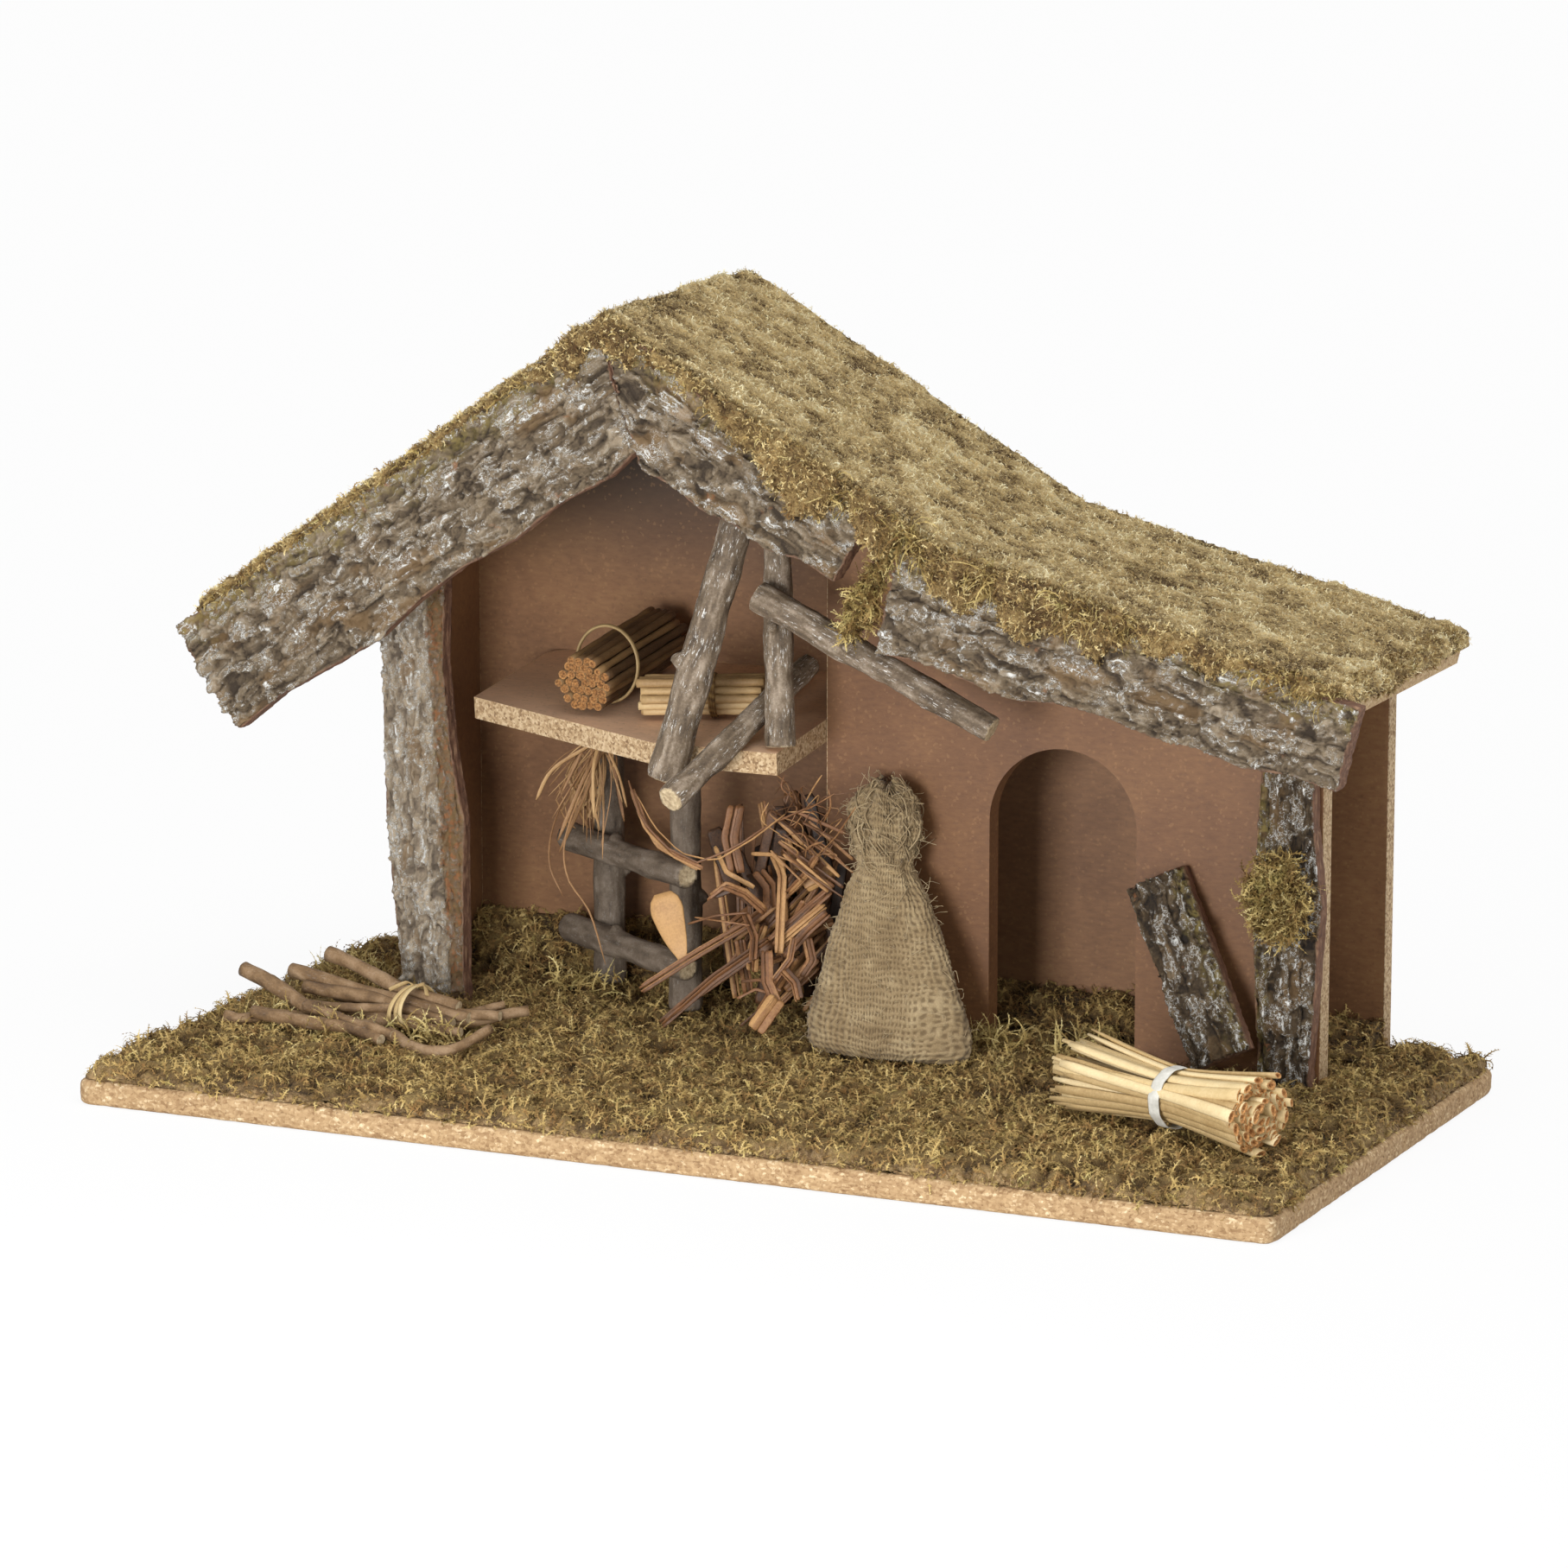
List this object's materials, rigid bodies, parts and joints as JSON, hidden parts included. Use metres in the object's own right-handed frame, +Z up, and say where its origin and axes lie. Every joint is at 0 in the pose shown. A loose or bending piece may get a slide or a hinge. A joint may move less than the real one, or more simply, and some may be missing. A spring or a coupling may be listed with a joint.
{
  "type": "nativity stable",
  "caption": "Rustic wooden nativity stable: open room with a loft and hay rack beside an arched panel, under a mossy three-pitch roof with bark fascias, on a mossed base.",
  "frame": {"origin": "centre of the underside of the base board", "axes": "+X along the base to the right seen from the front, +Y to the back wall, +Z up"},
  "size_m": [0.5116, 0.25, 0.3103],
  "materials": {
    "chipboard": "raw, unsanded particle board with a flecked edge",
    "fibreboard": "brown-stained fibreboard, flat",
    "moss": "dried reindeer and sheet moss, soft and tufted",
    "bark": "grey-brown furrowed bark with pale lichen flecks",
    "twig": "grey bark with pale flecks and light cut ends",
    "hay": "dry hay and raffia, loose",
    "reed": "red-brown reed, dry",
    "elastic_band": "yellow rubber, dull",
    "stick": "pale peeled sticks, dry",
    "cord_band": "brown cord, dull",
    "straw": "golden straw, slightly shiny",
    "paper_band": "off-white paper strip",
    "firewood": "brown dry twigs",
    "raffia": "pale raffia, dry",
    "burlap": "coarse natural burlap",
    "twine": "thin burlap twine, dull"
  },
  "bodies": {
    "root": {"base_board": "chipboard", "ground_moss": "moss", "moss_bank_room": "moss", "moss_bank_bay": "moss", "back_wall": "fibreboard", "left_wall": "fibreboard", "arch_panel": "fibreboard", "loft_shelf": "fibreboard", "roof_board_left": "chipboard", "roof_board_middle": "chipboard", "roof_board_low": "chipboard", "roof_moss_left": "moss", "roof_moss_middle": "moss", "roof_moss_low": "moss", "eave_moss_clump": "moss", "fascia_left": "bark", "fascia_middle": "bark", "fascia_right": "bark", "left_post": "bark", "right_post": "bark", "leaning_plank": "bark", "post_moss_clump": "moss", "long_twig": "twig", "short_twig": "twig", "cross_twig": "twig", "eave_twig": "twig", "rack_post_left": "twig", "rack_post_right": "twig", "rack_rung_upper": "twig", "rack_rung_lower": "twig", "hay_bunch": "hay", "hay_wisp": "hay", "reed_bundle": "reed", "reed_band": "elastic_band", "stick_bundle": "stick", "stick_band": "cord_band", "straw_sheaf": "straw", "sheaf_band": "paper_band", "firewood_bundle": "firewood", "firewood_tie": "raffia", "sack": "burlap", "sack_tie": "twine"}
  },
  "joints": []
}
